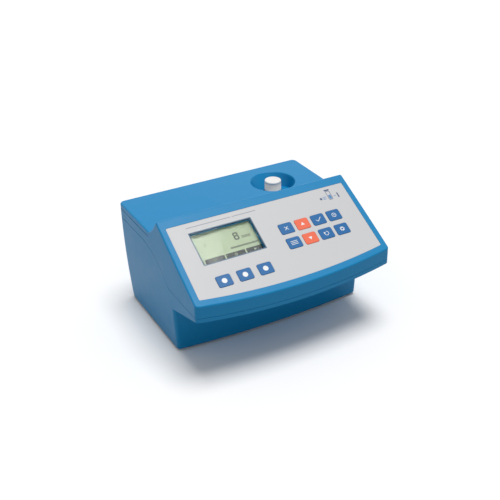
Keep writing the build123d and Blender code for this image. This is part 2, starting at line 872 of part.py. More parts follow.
def rocker():
    """Rocker in its off position, tilted about its pins."""
    half = rocker_half_length
    shoulder = rocker_top / 2
    top = Polyline((half, shoulder), (half, rocker_top), (0, rocker_top - rocker_dip), (-half, rocker_top),
                   (-half, shoulder))
    belly = ThreePointArc((-half, shoulder), (0, -rocker_belly), (half, shoulder))
    body = extrude(make_face([top, belly]), amount=rocker_height / 2, both=True)
    pin_half = rocker_height / 2 + rocker_side_gap + rocker_pin_reach
    body += Cylinder(rocker_pin_radius, 2 * pin_half)
    pivot_y = bay_floor_y + switch_bezel_thickness - rocker_pivot_depth
    return Pos(switch_x, pivot_y, switch_z) * Rot(0, 0, -rocker_swing) * body


def power_inlet():
    """Low-voltage inlet on the main board, its bore open to the rear."""
    half = inlet_width / 2
    z = board_top + inlet_height / 2
    body = block((inlet_x - half, inlet_x + half), (bay_floor_y - inlet_depth, bay_floor_y),
                 (board_top, board_top + inlet_height))
    bore = Rot(90, 0, 0) * Cylinder(inlet_bore_radius, inlet_bore_depth)
    return body - Pos(inlet_x, bay_floor_y - inlet_bore_depth / 2, z) * bore


def inlet_pin():
    """Centre pin of the inlet."""
    length = inlet_bore_depth - 1
    middle_y = bay_floor_y - inlet_bore_depth + length / 2
    body = Rot(90, 0, 0) * Cylinder(inlet_pin_radius, length)
    body = Pos(inlet_x, middle_y, board_top + inlet_height / 2) * body
    return chamfer(body.edges().filter_by(GeomType.CIRCLE).sort_by(Axis.Y)[-1], 0.3)


def socket_mouth(grow):
    """Outline of the data socket's mouth, two corners cut off."""
    face = Rectangle(socket_mouth_width + 2 * grow, socket_mouth_height + 2 * grow)
    return chamfer(face.vertices().group_by(Axis.Y)[-1], socket_mouth_chamfer)


def data_socket():
    """Metal shell of the data socket on the main board."""
    z = board_top + socket_height / 2
    body = block((socket_x - socket_width / 2, socket_x + socket_width / 2),
                 (bay_floor_y - socket_depth, bay_floor_y), (board_top, board_top + socket_height))
    mouth = Plane(origin=(socket_x, bay_floor_y, z), x_dir=(-1, 0, 0), z_dir=(0, 1, 0))
    return body - extrude(mouth * socket_mouth(0), amount=-socket_mouth_depth)


def socket_tongue():
    """Contact tongue inside the data socket."""
    z = board_top + socket_height / 2
    rear = bay_floor_y - socket_mouth_depth
    return block((socket_x - tongue_width / 2, socket_x + tongue_width / 2), (rear, rear + tongue_length),
                 (z - tongue_thickness / 2, z + tongue_thickness / 2))


def along_x(x, z, radius, length):
    """Round bar along x through the vial's axis plane, starting at x."""
    return Pos(x + length / 2, recess_y, z) * Rot(0, 90, 0) * Cylinder(radius, length)


def optic_seat():
    """Depth from the vial's axis at which the filters lie."""
    return vial_radius + vial_clearance + channel_wall


def cell_holder():
    """Black block with the vial well and four light channels."""
    half = holder_length / 2
    base_depth = holder_depth + 2 * holder_flange_width
    base = Pos(recess_x, recess_y) * RectangleRounded(holder_flange_length, base_depth, holder_corner)
    shaft = Pos(recess_x, recess_y) * RectangleRounded(holder_length, holder_depth, holder_corner)
    body = extrude(Plane.XY.offset(holder_foot_z) * base, amount=holder_flange_thickness)
    body += extrude(Plane.XY.offset(holder_foot_z) * shaft, amount=holder_top - holder_foot_z)
    well_radius = vial_radius + vial_clearance
    body -= disc(recess_x, recess_y, vial_bottom_z - seat_gap, well_radius, ridge_height)
    lead = Cone(well_radius, well_radius + holder_lead, holder_lead)
    body -= Pos(recess_x, recess_y, holder_top - holder_lead / 2) * lead
    for z in channel_heights:
        body -= along_x(recess_x - half, z, channel_radius, holder_length)
        body -= along_x(recess_x - half, z, optic_radius + optic_gap, half - optic_seat())
        body -= along_x(recess_x + half - cell_thickness, z, cell_radius + optic_gap, cell_thickness)
    for x, y in holder_boss_places():
        body -= disc(x, y, holder_foot_z, small_screw_radius + screw_gap, 2 * holder_flange_thickness)
    return body


def filters():
    """Narrow-band filter disc at the bottom of each lamp bore."""
    x = recess_x - optic_seat() - filter_thickness
    return Compound(children=[along_x(x, z, optic_radius, filter_thickness) for z in channel_heights])


def lenses():
    """Flat-backed lens against each filter, its curve towards the lamp."""
    x = recess_x - optic_seat() - filter_thickness
    rise = lens_thickness - lens_edge
    curve = (optic_radius ** 2 + rise ** 2) / (2 * rise)
    group = []
    for z in channel_heights:
        ball = Pos(x - lens_thickness + curve, recess_y, z) * Sphere(curve)
        group.append(along_x(x - lens_thickness, z, optic_radius, lens_thickness) & ball)
    return Compound(children=group)


def lamps():
    """Lamp on the lamp board behind each lens."""
    x = recess_x - holder_length / 2
    group = []
    for z in channel_heights:
        lamp = along_x(x, z, lamp_flange_radius, lamp_flange) + along_x(x, z, lamp_radius, lamp_length)
        group.append(lamp)
    return Compound(children=group)


def photocells():
    """Detector disc on the far side of each channel."""
    x = recess_x + holder_length / 2 - cell_thickness
    return Compound(children=[along_x(x, z, cell_radius, cell_thickness) for z in channel_heights])


def optic_board(x):
    """Upright circuit board on one side of the cell holder, starting at x."""
    half = optic_board_width / 2
    low = channel_heights[0] - optic_board_margin
    high = channel_heights[-1] + optic_board_margin
    return block((x, x + board_thickness), (recess_y - half, recess_y + half), (low, high))


def ring(z, outer_radius, inner_radius, height):
    """Flat ring round the vial."""
    hole = disc(recess_x, recess_y, z, inner_radius, height)
    return disc(recess_x, recess_y, z, outer_radius, height) - hole


def light_seal():
    """Foam ring between the cell holder and the underside of the recess."""
    inner = vial_radius + 2 * vial_clearance
    return ring(holder_top, inner + seal_width, inner, recess_floor_z - wall - holder_top)


def well_collar():
    """Guide ring pushed into the recess floor."""
    inner = vial_radius + vial_clearance
    spigot = ring(recess_floor_z - wall, collar_hole_radius - seat_gap, inner, wall)
    return spigot + ring(recess_floor_z, collar_flange_radius, inner, collar_flange)


def vial_glass():
    """Round glass vial with a narrower neck for the cap."""
    shoulder = vial_length - neck_length
    bore = vial_radius - vial_wall
    neck_bore = neck_radius - vial_wall
    outer = Polyline((0, 0), (vial_radius, 0), (vial_radius, shoulder - 1), (neck_radius, shoulder),
                     (neck_radius, vial_length), (neck_bore, vial_length), (neck_bore, shoulder),
                     (bore, shoulder - 1.5), (bore, vial_floor), (0, vial_floor), (0, 0))
    glass = revolve(Plane.XZ * make_face(outer), Axis.Z)
    foot = glass.edges().filter_by(GeomType.CIRCLE).group_by(Axis.Z)[0]
    glass = fillet(foot, vial_bottom_radius)
    return Pos(recess_x, recess_y, vial_bottom_z) * glass


def vial_cap():
    """White screw cap that stands a little above the deck."""
    body = disc(recess_x, recess_y, cap_bottom_z, cap_radius, cap_height)
    body = fillet(body.edges().filter_by(GeomType.CIRCLE), cap_edge)
    return body - disc(recess_x, recess_y, cap_bottom_z - 1, neck_radius + cap_air, cap_height - cap_wall + 1)


def cap_liner():
    """Soft disc that seals the vial's mouth inside the cap."""
    return disc(recess_x, recess_y, vial_top_z + seat_gap, neck_radius + cap_air / 2, liner_thickness)


def rubber_feet():
    """Four feet in the recesses of the base."""
    group = []
    for x, y in feet:
        foot = disc(x, y, 0, foot_radius, foot_height + foot_recess)
        group.append(fillet(foot.edges().filter_by(GeomType.CIRCLE).sort_by(Axis.Z)[0], foot_edge))
    return Compound(children=group)


def case_screws():
    """Four long screws from below into the upper casing's posts."""
    one = screw(head_radius, head_height, case_screw_radius, case_screw_length)
    return Compound(children=[Pos(x, y, post_meet - screw_shelf) * one for x, y in posts])


def build_parts():
    """Every node of the instrument by name."""
    outside = rounded_envelope()
    inside = envelope(wall)
    half = holder_length / 2
    parts = {
        "upper_casing": upper_casing(outside, inside),
        "lower_casing": lower_casing(outside, inside),
        "panel_film": panel_film(),
        "membrane_circuit": membrane_circuit(),
        "key_domes": key_domes(),
        "membrane_tail": membrane_tail(),
        "display_window": display_window(),
        "display_frame": display_frame(),
        "display_glass": display_glass(),
        "display_board": display_board(),
        "display_screws": display_screws(),
        "display_ribbon": display_ribbon(),
        "main_board": main_board(),
        "board_connectors": board_connectors(),
        "board_chips": board_chips(),
        "capacitors": capacitors(),
        "beeper": beeper(),
        "clock_cell": clock_cell(),
        "board_screws": board_screws(board_boss_places(), board_top),
        "holder_screws": board_screws(holder_boss_places(), holder_foot_z + holder_flange_thickness),
        "switch_frame": switch_frame(),
        "power_rocker": rocker(),
        "power_inlet": power_inlet(),
        "inlet_pin": inlet_pin(),
        "data_socket": data_socket(),
        "socket_tongue": socket_tongue(),
        "cell_holder": cell_holder(),
        "filters": filters(),
        "lenses": lenses(),
        "lamps": lamps(),
        "photocells": photocells(),
        "lamp_board": optic_board(recess_x - half - board_thickness),
        "detector_board": optic_board(recess_x + half),
        "light_seal": light_seal(),
        "well_collar": well_collar(),
        "vial_glass": vial_glass(),
        "vial_cap": vial_cap(),
        "cap_liner": cap_liner(),
        "rubber_feet": rubber_feet(),
        "case_screws": case_screws(),
    }
    for name, x, down in key_places():
        parts[name] = key(x, down)
    return parts


for node, shape in build_parts().items():
    export_step(shape, f"parts/{node}.step")
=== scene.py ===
import json
from math import radians, sin, cos, pi

import bpy
import numpy as np
from mathutils import Matrix, Vector


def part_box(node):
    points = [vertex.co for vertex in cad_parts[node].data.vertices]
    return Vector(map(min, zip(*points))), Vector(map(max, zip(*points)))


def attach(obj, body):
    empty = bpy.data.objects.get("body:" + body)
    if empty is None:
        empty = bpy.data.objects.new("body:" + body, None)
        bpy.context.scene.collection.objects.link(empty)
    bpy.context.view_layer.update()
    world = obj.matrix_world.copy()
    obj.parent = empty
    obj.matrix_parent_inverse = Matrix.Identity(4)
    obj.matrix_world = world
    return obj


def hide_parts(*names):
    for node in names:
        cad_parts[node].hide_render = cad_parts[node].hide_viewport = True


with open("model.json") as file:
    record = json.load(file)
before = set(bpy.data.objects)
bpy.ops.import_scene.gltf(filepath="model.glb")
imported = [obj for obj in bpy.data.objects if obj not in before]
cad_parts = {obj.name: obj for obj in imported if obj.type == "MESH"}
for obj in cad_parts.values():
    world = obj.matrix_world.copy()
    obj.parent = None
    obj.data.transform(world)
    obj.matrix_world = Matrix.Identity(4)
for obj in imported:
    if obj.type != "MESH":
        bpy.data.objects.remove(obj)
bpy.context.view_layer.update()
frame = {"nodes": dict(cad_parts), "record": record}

nodes = frame["nodes"]
mm = 0.001


def lowHigh(node):  # lowest and highest corner of a CAD node, as arrays
    low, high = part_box(node)
    return np.array(low), np.array(high)


# The sloping panel that the graphics lie on: its tilt, and the ridge line where it starts
panelValues = {"tilt": radians(29.1), "ridgeBack": -1.03 * mm, "ridgeHeight": 140.9 * mm}
panelDown = np.array([0.0, -cos(panelValues["tilt"]), -sin(panelValues["tilt"])])
panelOut = np.array([0.0, -sin(panelValues["tilt"]), cos(panelValues["tilt"])])
panelStart = np.array([0.0, panelValues["ridgeBack"], panelValues["ridgeHeight"]])


def onPanel(spot, rise):  # (x, distance down the panel) and a height over it, in mm, to metres
    spot = np.asarray(spot, float)
    x = spot[..., :1] * np.array([1.0, 0.0, 0.0])
    return panelStart + (x + spot[..., 1:2] * panelDown + rise * panelOut) * mm


def spotOf(node):  # x and distance down the panel of a node's middle, in mm
    low, high = lowHigh(node)
    offset = (low + high) / 2 - panelStart
    return np.array([offset[0], offset @ panelDown]) / mm


def riseOf(node):  # how high a node's top face lies over the panel's surface, in mm
    corners = np.empty(len(nodes[node].data.vertices) * 3)
    nodes[node].data.vertices.foreach_get("co", corners)
    return float(np.max((corners.reshape(-1, 3) - panelStart) @ panelOut)) / mm


# Short ways to place shader nodes


def put(tree, socket, value):  # link a socket, or set a plain value
    if isinstance(value, bpy.types.NodeSocket):
        tree.links.new(value, socket)
    else:
        socket.default_value = value


def noise(tree, vector, scale, detail=2.0, rough=0.5):
    node = tree.nodes.new("ShaderNodeTexNoise")
    node.inputs["Detail"].default_value = detail
    node.inputs["Roughness"].default_value = rough
    put(tree, node.inputs["Vector"], vector)
    put(tree, node.inputs["Scale"], scale)
    return node.outputs["Fac"]


def maths(tree, operation, first, second=0.0):
    node = tree.nodes.new("ShaderNodeMath")
    node.operation = operation
    put(tree, node.inputs[0], first)
    put(tree, node.inputs[1], second)
    return node.outputs[0]


def between(tree, value, band, low=0.0, high=1.0):  # carry a band of values over to low ... high
    node = tree.nodes.new("ShaderNodeMapRange")
    for socket, given in zip(node.inputs, (value, *band, low, high)):
        put(tree, socket, given)
    return node.outputs[0]


def mixColour(tree, share, first, second):
    node = tree.nodes.new("ShaderNodeMix")
    node.data_type = "RGBA"
    put(tree, node.inputs[0], share)
    put(tree, node.inputs[6], first)  # sockets 6 and 7 are the two colours
    put(tree, node.inputs[7], second)
    return node.outputs[2]


def scaled(tree, vector, amount):
    node = tree.nodes.new("ShaderNodeVectorMath")
    node.operation = "SCALE"
    put(tree, node.inputs[0], vector)
    put(tree, node.inputs["Scale"], amount)
    return node.outputs[0]


def newGroup(name, inputs):  # a node group that puts out a colour, a roughness and a height
    group = bpy.data.node_groups.new(name, "ShaderNodeTree")
    kinds = {"value": "NodeSocketFloat", "colour": "NodeSocketColor", "vector": "NodeSocketVector"}
    for label, kind, default in inputs:
        socket = group.interface.new_socket(label, in_out="INPUT", socket_type=kinds[kind])
        socket.default_value = default
    for label, kind in (("Colour", "colour"), ("Roughness", "value"), ("Height", "value")):
        group.interface.new_socket(label, in_out="OUTPUT", socket_type=kinds[kind])
    return group, group.nodes.new("NodeGroupInput"), group.nodes.new("NodeGroupOutput")


noiseBand = (0.3, 0.7)  # where most values of a noise lie
grainValues = {"fine": (3.0, 0.6), "slowScale": 14.0, "rubbedScale": 55.0, "rubbed": (5.0, 0.65),
               "rubbedBand": (0.45, 0.75), "speckScale": 900.0, "speckDetail": 1.0,
               "speckBand": (0.74, 0.8), "grit": 0.08, "gritGloss": 1.5,
               "dustColour": (0.55, 0.55, 0.53, 1)}


def grainGroup(values):  # moulded plastic: fine grain, slow colour drift, rubbed patches, dust
    group, start, end = newGroup("mouldedGrain", [
        ("Place", "vector", (0, 0, 0)), ("Colour", "colour", (0.5, 0.5, 0.5, 1)),
        ("Grain", "value", 2200.0), ("Drift", "value", 0.06), ("Gloss", "value", 0.45),
        ("Marks", "value", 0.05), ("Dust", "value", 0.0)])
    given = start.outputs
    place = given["Place"]
    fine = noise(group, place, given["Grain"], *values["fine"])
    slow = noise(group, place, values["slowScale"])
    rubbed = between(group, noise(group, place, values["rubbedScale"], *values["rubbed"]),
                     values["rubbedBand"])
    specks = between(group, noise(group, place, values["speckScale"], values["speckDetail"]),
                     values["speckBand"])
    shade = maths(group, "MULTIPLY", maths(group, "SUBTRACT", slow, 0.5), given["Drift"])
    grit = maths(group, "MULTIPLY", maths(group, "SUBTRACT", fine, 0.5), values["grit"])
    level = maths(group, "ADD", maths(group, "ADD", shade, grit), 1.0)
    tinted = scaled(group, given["Colour"], level)
    dust = maths(group, "MULTIPLY", specks, given["Dust"])
    put(group, end.inputs["Colour"], mixColour(group, dust, tinted, values["dustColour"]))
    marks = maths(group, "MULTIPLY", rubbed, given["Marks"])
    rough = maths(group, "ADD", given["Gloss"],
                  maths(group, "MULTIPLY", grit, values["gritGloss"]))
    put(group, end.inputs["Roughness"], maths(group, "SUBTRACT", rough, marks))
    put(group, end.inputs["Height"], fine)
    return group


brushValues = {"stretch": (0.03, 1.0, 1.0), "stainScale": 160.0, "stain": (4.0, 0.6),
               "stainShade": (0.88, 1.05), "lineGloss": (-0.08, 0.1)}


def brushGroup(values):  # metal: fine lines along x, with slow stains
    group, start, end = newGroup("brushedLines", [
        ("Place", "vector", (0, 0, 0)), ("Colour", "colour", (0.6, 0.6, 0.6, 1)),
        ("Lines", "value", 2600.0), ("Gloss", "value", 0.3)])
    given = start.outputs
    stretch = group.nodes.new("ShaderNodeVectorMath")
    stretch.operation = "MULTIPLY"
    stretch.inputs[1].default_value = values["stretch"]
    put(group, stretch.inputs[0], given["Place"])
    lines = noise(group, stretch.outputs[0], given["Lines"])
    stain = between(group, noise(group, given["Place"], values["stainScale"], *values["stain"]),
                    noiseBand, *values["stainShade"])
    put(group, end.inputs["Colour"], scaled(group, given["Colour"], stain))
    put(group, end.inputs["Roughness"],
        maths(group, "ADD", given["Gloss"], between(group, lines, noiseBand, *values["lineGloss"])))
    put(group, end.inputs["Height"], lines)
    return group


grain = grainGroup(grainValues)
brush = brushGroup(brushValues)


def shader(name):
    material = bpy.data.materials.new(name)
    material.use_nodes = True
    tree = material.node_tree
    place = tree.nodes.new("ShaderNodeTexCoord").outputs["Object"]
    return material, tree, tree.nodes["Principled BSDF"], place


def bump(tree, principled, height, strength, distance):
    node = tree.nodes.new("ShaderNodeBump")
    node.inputs["Strength"].default_value = strength
    node.inputs["Distance"].default_value = distance
    tree.links.new(height, node.inputs["Height"])
    tree.links.new(node.outputs[0], principled.inputs["Normal"])


def useGroup(tree, principled, group, given):  # place a group and link its colour and roughness
    node = tree.nodes.new("ShaderNodeGroup")
    node.node_tree = group
    for label, value in given.items():
        put(tree, node.inputs[label], value)
    tree.links.new(node.outputs["Colour"], principled.inputs["Base Color"])
    tree.links.new(node.outputs["Roughness"], principled.inputs["Roughness"])
    return node.outputs["Height"]


plasticValues = {"grain": 2200.0, "drift": 0.05, "marks": 0.05, "dust": 0.0, "bump": 0.15,
                 "bumpDepth": 0.05 * mm, "coat": 0.0, "coatGloss": 0.15, "specular": 0.5}
metalValues = {"lines": 2600.0, "bump": 0.1, "bumpDepth": 0.02 * mm}
clearValues = {"smearScale": 90.0, "smear": (4.0, 0.6), "smearGloss": 0.05, "streakScale": 30.0,
               "streakShade": 0.97}
boardValues = {"gap": 0.05, "gapBlur": 0.3, "otherShade": 0.8, "maskScale": 700.0,
               "maskGloss": (0.25, 0.4), "bump": 0.3, "bumpDepth": 0.04 * mm}


def plastic(name, finish):
    values = {**plasticValues, **finish}
    material, tree, principled, place = shader(name)
    height = useGroup(tree, principled, grain, {
        "Place": place, "Colour": (*values["colour"], 1), "Grain": values["grain"],
        "Drift": values["drift"], "Gloss": values["gloss"], "Marks": values["marks"],
        "Dust": values["dust"]})
    bump(tree, principled, height, values["bump"], values["bumpDepth"])
    principled.inputs["Coat Weight"].default_value = values["coat"]
    principled.inputs["Coat Roughness"].default_value = values["coatGloss"]
    principled.inputs["Specular IOR Level"].default_value = values["specular"]
    return material


def metal(name, finish):
    values = {**metalValues, **finish}
    material, tree, principled, place = shader(name)
    height = useGroup(tree, principled, brush, {
        "Place": place, "Colour": (*values["colour"], 1), "Lines": values["lines"],
        "Gloss": values["gloss"]})
    bump(tree, principled, height, values["bump"], values["bumpDepth"])
    principled.inputs["Metallic"].default_value = 1.0
    return material


def clear(name, finish):  # glass or clear plastic with faint smears
    values = {**clearValues, **finish}
    material, tree, principled, place = shader(name)
    gloss = values["gloss"]
    smear = between(tree, noise(tree, place, values["smearScale"], *values["smear"]), noiseBand,
                    gloss, gloss + values["smearGloss"])
    tree.links.new(smear, principled.inputs["Roughness"])
    streak = between(tree, noise(tree, place, values["streakScale"]), noiseBand)
    pale = (*values["colour"], 1)
    dull = (*[c * values["streakShade"] for c in values["colour"]], 1)
    tree.links.new(mixColour(tree, streak, pale, dull), principled.inputs["Base Color"])
    principled.inputs["Transmission Weight"].default_value = 1.0
    principled.inputs["IOR"].default_value = values["bending"]
    return material


def circuitBoard(name, finish):  # green mask over a field of copper tracks
    values = {**boardValues, **finish}
    material, tree, principled, place = shader(name)
    cells = tree.nodes.new("ShaderNodeTexBrick")
    tree.links.new(place, cells.inputs["Vector"])
    cells.inputs["Scale"].default_value = values["tracks"]
    cells.inputs["Mortar Size"].default_value = values["gap"]
    cells.inputs["Mortar Smooth"].default_value = values["gapBlur"]
    cells.inputs["Color1"].default_value = (*values["colour"], 1)
    cells.inputs["Color2"].default_value = (*[c * values["otherShade"] for c in values["colour"]], 1)
    cells.inputs["Mortar"].default_value = (*values["track"], 1)
    tree.links.new(cells.outputs["Color"], principled.inputs["Base Color"])
    mask = between(tree, noise(tree, place, values["maskScale"]), noiseBand, *values["maskGloss"])
    tree.links.new(mask, principled.inputs["Roughness"])
    bump(tree, principled, cells.outputs["Fac"], values["bump"], values["bumpDepth"])
    return material


finishValues = {
    "casing": (plastic, {"colour": (0.001, 0.224, 0.49), "gloss": 0.4, "grain": 2600.0,
                         "bump": 0.2, "marks": 0.06, "dust": 0.05, "specular": 0.25}),
    "panel_film": (plastic, {"colour": (0.59, 0.594, 0.605), "gloss": 0.4, "grain": 4200.0,
                             "drift": 0.03, "bump": 0.1, "specular": 0.35}),
    "key_blue": (plastic, {"colour": (0.001, 0.125, 0.36), "gloss": 0.36, "grain": 4200.0,
                           "bump": 0.1, "specular": 0.3}),
    "key_orange": (plastic, {"colour": (0.86, 0.15, 0.07), "gloss": 0.36, "grain": 4200.0,
                             "bump": 0.1, "specular": 0.3}),
    "membrane": (plastic, {"colour": (0.04, 0.07, 0.1), "gloss": 0.5}),
    "flat_cable": (plastic, {"colour": (0.55, 0.55, 0.52), "gloss": 0.45, "drift": 0.2}),
    "connector_plastic": (plastic, {"colour": (0.75, 0.7, 0.55), "gloss": 0.5}),
    "chip": (plastic, {"colour": (0.02, 0.02, 0.02), "gloss": 0.5, "bump": 0.3}),
    "capacitor_sleeve": (plastic, {"colour": (0.02, 0.02, 0.08), "gloss": 0.25, "drift": 0.1}),
    "switch_plastic": (plastic, {"colour": (0.016, 0.016, 0.017), "gloss": 0.48, "bump": 0.25}),
    "rocker_plastic": (plastic, {"colour": (0.014, 0.014, 0.015), "gloss": 0.28, "bump": 0.1}),
    "tongue_plastic": (plastic, {"colour": (0.8, 0.8, 0.78), "gloss": 0.45}),
    "holder_plastic": (plastic, {"colour": (0.012, 0.012, 0.013), "gloss": 0.6, "bump": 0.35}),
    "photocell": (plastic, {"colour": (0.02, 0.02, 0.05), "gloss": 0.15, "coat": 0.6}),
    "lamp_lens": (plastic, {"colour": (0.8, 0.78, 0.62), "gloss": 0.2, "coat": 0.5}),
    "foam": (plastic, {"colour": (0.015, 0.015, 0.015), "gloss": 0.85, "grain": 900.0,
                       "bump": 0.8}),
    "cap_plastic": (plastic, {"colour": (0.8, 0.79, 0.77), "gloss": 0.42, "grain": 3200.0,
                              "drift": 0.04}),
    "liner": (plastic, {"colour": (0.6, 0.58, 0.54), "gloss": 0.6}),
    "foot_rubber": (plastic, {"colour": (0.02, 0.02, 0.02), "gloss": 0.75, "grain": 1500.0,
                              "bump": 0.5}),
    "dome_metal": (metal, {"colour": (0.62, 0.61, 0.58), "gloss": 0.28}),
    "pressed_metal": (metal, {"colour": (0.32, 0.33, 0.36), "gloss": 0.4}),
    "screw_metal": (metal, {"colour": (0.6, 0.6, 0.58), "gloss": 0.3}),
    "cell_metal": (metal, {"colour": (0.68, 0.68, 0.66), "gloss": 0.25}),
    "pin_metal": (metal, {"colour": (0.8, 0.62, 0.3), "gloss": 0.25}),
    "socket_metal": (metal, {"colour": (0.6, 0.6, 0.6), "gloss": 0.3}),
    "window": (clear, {"colour": (0.97, 0.98, 0.98), "gloss": 0.02, "bending": 1.12}),
    "lens_glass": (clear, {"colour": (0.97, 0.98, 0.98), "gloss": 0.01, "bending": 1.5}),
    "filter_glass": (clear, {"colour": (0.45, 0.3, 0.62), "gloss": 0.02, "bending": 1.5}),
    "vial_glass": (clear, {"colour": (0.96, 0.98, 0.98), "gloss": 0.01, "bending": 1.47}),
    "display": (plastic, {"colour": (0.35, 0.43, 0.27), "gloss": 0.3, "drift": 0.08,
                          "bump": 0.02}),
    "circuit_board": (circuitBoard, {"colour": (0.012, 0.12, 0.04), "track": (0.05, 0.25, 0.09),
                                     "tracks": 260.0}),
}
finishes = {slot: make(slot, values) for slot, (make, values) in finishValues.items()}

extraValues = {  # finishes of the printed and drawn pieces
    "legendWhite": {"colour": (0.82, 0.84, 0.85), "gloss": 0.4, "bump": 0.05},
    "windowPrint": {"colour": (0.07, 0.15, 0.24), "gloss": 0.4, "bump": 0.05},
    "filmPrint": {"colour": (0.03, 0.07, 0.17), "gloss": 0.4, "bump": 0.05},
    "filmPrintPale": {"colour": (0.06, 0.22, 0.46), "gloss": 0.4, "bump": 0.05},
    "lcdDark": {"colour": (0.022, 0.03, 0.026), "gloss": 0.35, "bump": 0.02},
    "lcdPale": {"colour": (0.35, 0.43, 0.27), "gloss": 0.35, "bump": 0.02},
}
extras = {name: plastic(name, values) for name, values in extraValues.items()}

slotOf = {entry["node"]: entry["material_slot"] for entry in frame["record"]["subparts"]}
for name, thing in nodes.items():
    thing.data.materials.clear()
    thing.data.materials.append(finishes[slotOf[name]])
print("finishes:", len(finishes) + len(extras))


# Mesh helpers, all on whole arrays


def addPiece(name, points, faces, material, body, smooth=False):
    mesh = bpy.data.meshes.new(name)
    mesh.from_pydata(np.asarray(points).reshape(-1, 3).tolist(), [], [list(face) for face in faces])
    if smooth:
        mesh.shade_smooth()
    mesh.materials.append(material)
    thing = bpy.data.objects.new(name, mesh)
    bpy.context.scene.collection.objects.link(thing)
    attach(thing, body)
    return thing


def prisms(outlines, low, high):  # plates: each outline on the panel, raised from low to high
    outlines = np.asarray(outlines, float)
    if outlines.ndim == 2:
        outlines = outlines[None]
    count, corners = outlines.shape[:2]
    points = np.stack([onPanel(outlines, low), onPanel(outlines, high)], 1)
    step = np.arange(corners)
    after = np.roll(step, -1)
    base = (np.arange(count) * 2 * corners)[:, None]
    tops = base + step + corners
    bottoms = base + step[::-1]
    sides = np.stack([step, after, after + corners, step + corners], -1)[None] + base[..., None]
    return points.reshape(-1, 3), tops.tolist() + bottoms.tolist() + sides.reshape(-1, 4).tolist()


def rings(outer, inner, low, high):  # a plate with a hole: two outlines with as many corners
    outer, inner = np.asarray(outer, float), np.asarray(inner, float)
    count = len(outer)
    points = np.concatenate([onPanel(line, rise) for rise in (low, high) for line in (outer, inner)])
    step = np.arange(count)
    after = np.roll(step, -1)
    a, b, c, d = (step + i * count for i in range(4))
    a2, b2, c2, d2 = (after + i * count for i in range(4))
    quads = [np.stack(q, -1) for q in
             ((c, c2, d2, d), (a2, a, b, b2), (a, a2, c2, c), (b2, b, d, d2))]
    return points, np.concatenate(quads).tolist()


def joined(*parts):  # several meshes as one
    points, faces, offset = [], [], 0
    for some, links in parts:
        points.append(some)
        faces += [[corner + offset for corner in link] for link in links]
        offset += len(some)
    return np.concatenate(points), faces


def circle(centre, radius, corners=40, start=0.0, sweep=2 * pi):  # centre + radius (cos, -sin)
    turn = start + np.linspace(0, sweep, corners, endpoint=sweep < 2 * pi)
    return np.asarray(centre) + radius * np.stack([np.cos(turn), -np.sin(turn)], -1)


def box(centre, size, turn=0.0):  # a rectangle, turned about its middle
    x, y = size[0] / 2, size[1] / 2
    corners = np.array([[-x, -y], [x, -y], [x, y], [-x, y]])
    spin = np.array([[cos(turn), -sin(turn)], [sin(turn), cos(turn)]])
    return np.asarray(centre) + corners @ spin.T * np.array([1, -1])


def softBox(centre, size, radius, corners=6):  # a rectangle whose corners are quarter circles
    x, y = size[0] / 2 - radius, size[1] / 2 - radius
    parts = [circle((sx * x, -sy * y), radius, corners, start, pi / 2)
             for sx, sy, start in ((1, 1, 0), (-1, 1, pi / 2), (-1, -1, pi), (1, -1, 3 * pi / 2))]
    return np.asarray(centre) + np.concatenate(parts)


# A bent line of even width: each corner moves half a width across the mean of its two directions,
# and further where the bend is sharper, by one over the cosine of half the bend
def stroke(points, width, leastCosine=0.4):
    points = np.asarray(points, float)
    steps = np.diff(points, axis=0)
    steps /= np.linalg.norm(steps, axis=1)[:, None]
    before = np.vstack([steps[:1], steps])
    after = np.vstack([steps, steps[-1:]])
    mean = before + after
    mean /= np.linalg.norm(mean, axis=1)[:, None]
    side = np.stack([-mean[:, 1], mean[:, 0]], -1)
    cosine = np.einsum("ij,ij->i", mean, after)
    reach = width / 2 / np.maximum(leastCosine, cosine)[:, None]
    line = np.concatenate([points + side * reach, (points - side * reach)[::-1]])
    return line[::-1]


def aroundAxis(radius, height, angle):  # (radius cos, radius sin, height) for every row and turn
    grid = np.stack([radius * np.cos(angle), radius * np.sin(angle), height + 0 * angle], -1)
    return grid.reshape(-1, 3)


def bandFaces(row, nextRow, turns):  # quads from each row of points to the next, all the way round
    step = np.arange(turns)
    after = np.roll(step, -1)
    corners = (row + step, row + after, nextRow + after, nextRow + step)
    return np.stack(corners, -1).reshape(-1, 4).tolist()


# A profile (radius, height) that starts and ends on the axis, carried round it: every point turns
# about z, and shape changes the radius by height, row and angle
def lathe(profile, turns, shape):
    angle = np.linspace(0, 2 * pi, turns, endpoint=False)
    radius = np.repeat(profile[1:-1, :1], turns, 1)
    height = np.repeat(profile[1:-1, 1:], turns, 1)
    radius = shape(radius, height, np.arange(1, len(profile) - 1)[:, None], angle[None])
    grid = aroundAxis(radius, height, angle)
    poles = [[0, 0, profile[0, 1]], [0, 0, profile[-1, 1]]]
    row = np.arange(len(profile) - 3)[:, None] * turns
    step = np.arange(turns)
    after = np.roll(step, -1)
    first, last = len(grid), len(grid) + 1
    end = (len(profile) - 3) * turns
    fans = [[first, b, a] for a, b in zip(step, after)]
    fans += [[last, end + a, end + b] for a, b in zip(step, after)]
    return np.concatenate([grid, poles]), bandFaces(row, row + turns, turns) + fans


def hoop(profile, turns):  # a closed profile (radius, height) carried round the axis
    profile = np.asarray(profile, float)
    angle = np.linspace(0, 2 * pi, turns, endpoint=False)
    row = np.arange(len(profile))[:, None] * turns
    grid = aroundAxis(profile[:, :1], profile[:, 1:], angle)
    return grid, bandFaces(row, np.roll(row, -1), turns)


